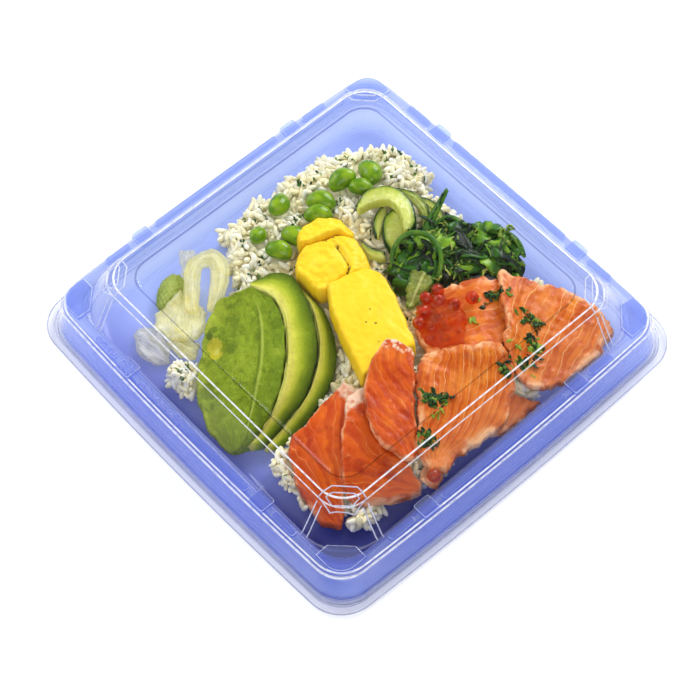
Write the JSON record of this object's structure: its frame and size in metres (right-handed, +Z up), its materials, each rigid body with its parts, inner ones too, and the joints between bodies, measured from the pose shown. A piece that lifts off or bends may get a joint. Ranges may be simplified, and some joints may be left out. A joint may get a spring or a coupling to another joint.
{
  "type": "takeaway sushi tray",
  "caption": "Square takeaway tray with a clear lid that clips over its rim: rice topped with salmon, avocado, rolled omelette, cucumber, green soya beans, seaweed salad, roe, ginger and wasabi.",
  "frame": {"origin": "middle of the footprint, on the surface that the tray stands on", "axes": "+Z up out of the tray; X and Y along the tray's sides, the avocado towards -X -Y and the salmon towards +X"},
  "size_m": [0.1902, 0.1902, 0.0369],
  "materials": {
    "tray_plastic": "translucent blue-violet formed sheet",
    "lid_plastic": "clear formed sheet",
    "rice": "moist grains",
    "salmon": "moist, with pale fat lines",
    "dark_salmon": "moist, with pale fat lines",
    "avocado": "soft satin, green at the outside and yellow inside",
    "omelette": "satin",
    "bean": "moist",
    "cucumber": "moist, with dark green peel",
    "seaweed": "wet",
    "leaf": "satin",
    "roe": "glassy",
    "ginger": "moist, translucent",
    "wasabi": "paste"
  },
  "bodies": {
    "root": {"tray": "tray_plastic", "lid": "lid_plastic", "wasabi": "wasabi", "rice": "rice", "seaweed": "seaweed", "lettuce_leaf": "leaf", "roe": "roe", "roe_egg_1": "roe", "roe_egg_2": "roe", "ginger_1": "ginger", "ginger_2": "ginger", "ginger_3": "ginger", "ginger_4": "ginger", "ginger_5": "ginger", "omelette_front": "omelette", "omelette_rear": "omelette", "omelette_middle": "omelette", "avocado_1": "avocado", "avocado_2": "avocado", "avocado_3": "avocado", "salmon_front_1": "dark_salmon", "salmon_front_2": "dark_salmon", "salmon_front_3": "dark_salmon", "salmon_right_1": "salmon", "salmon_right_2": "salmon", "salmon_right_3": "salmon", "salmon_right_4": "salmon", "salmon_right_5": "salmon", "cucumber_1": "cucumber", "cucumber_2": "cucumber", "cucumber_3": "cucumber", "cucumber_4": "cucumber", "cucumber_5": "cucumber", "cucumber_6": "cucumber", "bean_1": "bean", "bean_2": "bean", "bean_3": "bean", "bean_4": "bean", "bean_5": "bean", "bean_6": "bean", "bean_7": "bean", "bean_8": "bean", "bean_9": "bean"}
  },
  "joints": []
}
